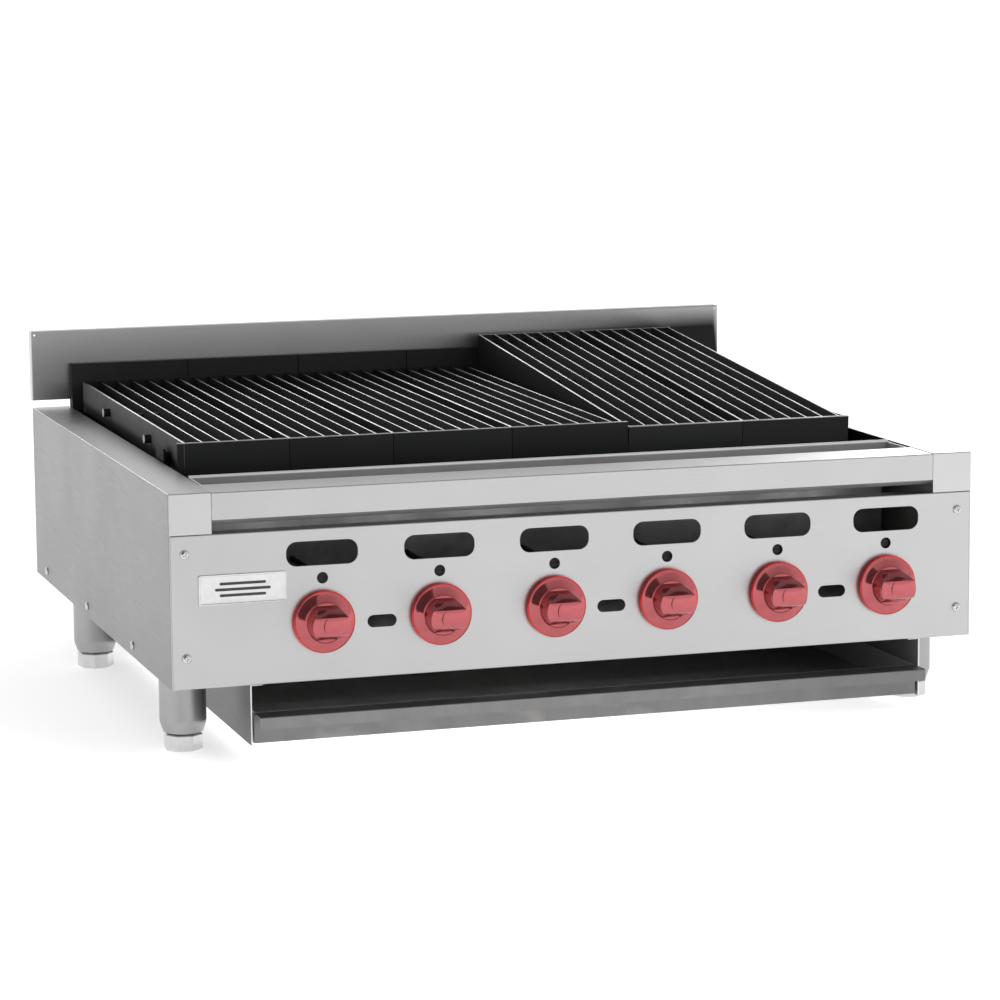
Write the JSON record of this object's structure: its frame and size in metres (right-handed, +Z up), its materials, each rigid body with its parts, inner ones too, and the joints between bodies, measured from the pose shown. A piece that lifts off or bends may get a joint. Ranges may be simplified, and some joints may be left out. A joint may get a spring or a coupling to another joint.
{
  "type": "charbroiler grill",
  "caption": "Countertop gas charbroiler: stainless casing on short legs, tilting cast grates over radiants and burners, dished knobs, viewing slots, grease trough and slide-out drip pan.",
  "frame": {"origin": "on the counter, under the middle of the whole object", "axes": "+X to the operator's right, -Y towards the operator, +Z up"},
  "size_m": [0.9196, 0.863, 0.387],
  "materials": {
    "casing_steel": "brushed stainless sheet, fine horizontal grain",
    "liner_steel": "heat-dulled steel sheet",
    "rack_black": "black heat-resistant finish",
    "flue_iron": "seasoned cast iron, matt black",
    "grate_iron": "seasoned cast iron, rib edges scraped bright",
    "radiant_iron": "raw sand-cast iron",
    "burner_iron": "grey cast iron",
    "gas_pipe": "black steel pipe",
    "valve_brass": "machined brass",
    "knob_red": "glossy red moulding",
    "screw_steel": "bright zinc screws",
    "plate_face": null,
    "pan_steel": "used aluminised sheet, mottled",
    "bay_steel": "plain stainless sheet",
    "leg_steel": "satin tube",
    "foot_steel": "plated levelling foot"
  },
  "bodies": {
    "casing": {"left_side_panel": "casing_steel", "right_side_panel": "casing_steel", "rear_panel": "casing_steel", "backsplash": "casing_steel", "front_rail": "casing_steel", "control_panel": "casing_steel", "base_frame": "liner_steel", "firebox_left_wall": "liner_steel", "firebox_right_wall": "liner_steel", "firebox_front_wall": "liner_steel", "firebox_rear_wall": "liner_steel", "rack_brackets": "rack_black", "rear_rest_bar": "rack_black", "grate_pivot_rod": "rack_black", "rack_bolts": "screw_steel", "flue_plates": "flue_iron", "radiant_1": "radiant_iron", "radiant_2": "radiant_iron", "radiant_3": "radiant_iron", "radiant_4": "radiant_iron", "radiant_5": "radiant_iron", "radiant_6": "radiant_iron", "burner_1": "burner_iron", "burner_2": "burner_iron", "burner_3": "burner_iron", "burner_4": "burner_iron", "burner_5": "burner_iron", "burner_6": "burner_iron", "gas_manifold": "gas_pipe", "gas_supply_pipe": "gas_pipe", "valve_bodies": "valve_brass", "pilot_lines": "valve_brass", "casing_screws": "screw_steel", "name_plate": "plate_face", "pan_housing": "bay_steel", "leg_tubes": "leg_steel"},
    "knob_1_assembly": {"knob_1": "knob_red", "valve_stem_1": "valve_brass"},
    "knob_2_assembly": {"knob_2": "knob_red", "valve_stem_2": "valve_brass"},
    "knob_3_assembly": {"knob_3": "knob_red", "valve_stem_3": "valve_brass"},
    "knob_4_assembly": {"knob_4": "knob_red", "valve_stem_4": "valve_brass"},
    "knob_5_assembly": {"knob_5": "knob_red", "valve_stem_5": "valve_brass"},
    "knob_6_assembly": {"knob_6": "knob_red", "valve_stem_6": "valve_brass"},
    "grate_1_body": {"grate_1": "grate_iron"},
    "grate_2_body": {"grate_2": "grate_iron"},
    "grate_3_body": {"grate_3": "grate_iron"},
    "grate_4_body": {"grate_4": "grate_iron"},
    "grate_5_body": {"grate_5": "grate_iron"},
    "grate_6_body": {"grate_6": "grate_iron"},
    "drip_pan_body": {"drip_pan": "pan_steel"},
    "trough_body": {"grease_trough": "liner_steel"},
    "foot_front_left_body": {"foot_front_left": "foot_steel"},
    "foot_front_right_body": {"foot_front_right": "foot_steel"},
    "foot_rear_left_body": {"foot_rear_left": "foot_steel"},
    "foot_rear_right_body": {"foot_rear_right": "foot_steel"}
  },
  "joints": [
    {"name": "knob_1_turn", "type": "hinge", "parent": "casing", "child": "knob_1_assembly", "pos_m": [-0.29225, -0.3937, 0.148], "axis": [0, -1, 0], "range_deg": [0, 240]},
    {"name": "knob_2_turn", "type": "hinge", "parent": "casing", "child": "knob_2_assembly", "pos_m": [-0.16295, -0.3937, 0.148], "axis": [0, -1, 0], "range_deg": [0, 240]},
    {"name": "knob_3_turn", "type": "hinge", "parent": "casing", "child": "knob_3_assembly", "pos_m": [-0.03365, -0.3937, 0.148], "axis": [0, -1, 0], "range_deg": [0, 240]},
    {"name": "knob_4_turn", "type": "hinge", "parent": "casing", "child": "knob_4_assembly", "pos_m": [0.09565, -0.3937, 0.148], "axis": [0, -1, 0], "range_deg": [0, 240]},
    {"name": "knob_5_turn", "type": "hinge", "parent": "casing", "child": "knob_5_assembly", "pos_m": [0.22495, -0.3937, 0.148], "axis": [0, -1, 0], "range_deg": [0, 240]},
    {"name": "knob_6_turn", "type": "hinge", "parent": "casing", "child": "knob_6_assembly", "pos_m": [0.35425, -0.3937, 0.148], "axis": [0, -1, 0], "range_deg": [0, 240]},
    {"name": "grate_1_tilt", "type": "hinge", "parent": "casing", "child": "grate_1_body", "pos_m": [0, -0.1287, 0.295], "axis": [1, 0, 0], "range_deg": [0, 4.5]},
    {"name": "grate_2_tilt", "type": "hinge", "parent": "casing", "child": "grate_2_body", "pos_m": [0, -0.1287, 0.295], "axis": [1, 0, 0], "range_deg": [0, 4.5]},
    {"name": "grate_3_tilt", "type": "hinge", "parent": "casing", "child": "grate_3_body", "pos_m": [0, -0.1287, 0.295], "axis": [1, 0, 0], "range_deg": [0, 4.5]},
    {"name": "grate_4_tilt", "type": "hinge", "parent": "casing", "child": "grate_4_body", "pos_m": [0, -0.1287, 0.295], "axis": [1, 0, 0], "range_deg": [0, 4.5]},
    {"name": "grate_5_tilt", "type": "hinge", "parent": "casing", "child": "grate_5_body", "pos_m": [0, -0.1287, 0.295], "axis": [1, 0, 0], "range_deg": [-4.5, 0]},
    {"name": "grate_6_tilt", "type": "hinge", "parent": "casing", "child": "grate_6_body", "pos_m": [0, -0.1287, 0.295], "axis": [1, 0, 0], "range_deg": [-4.5, 0]},
    {"name": "drip_pan_slide", "type": "slide", "parent": "casing", "child": "drip_pan_body", "axis": [0, -1, 0], "range_m": [0, 0.6]},
    {"name": "grease_trough_lift", "type": "slide", "parent": "casing", "child": "trough_body", "axis": [0, 0, 1], "range_m": [0, 0.08]},
    {"name": "foot_front_left_screw", "type": "slide", "parent": "casing", "child": "foot_front_left_body", "axis": [0, 0, 1], "range_m": [-0.025, 0]},
    {"name": "foot_front_right_screw", "type": "slide", "parent": "casing", "child": "foot_front_right_body", "axis": [0, 0, 1], "range_m": [-0.025, 0]},
    {"name": "foot_rear_left_screw", "type": "slide", "parent": "casing", "child": "foot_rear_left_body", "axis": [0, 0, 1], "range_m": [-0.025, 0]},
    {"name": "foot_rear_right_screw", "type": "slide", "parent": "casing", "child": "foot_rear_right_body", "axis": [0, 0, 1], "range_m": [-0.025, 0]}
  ]
}
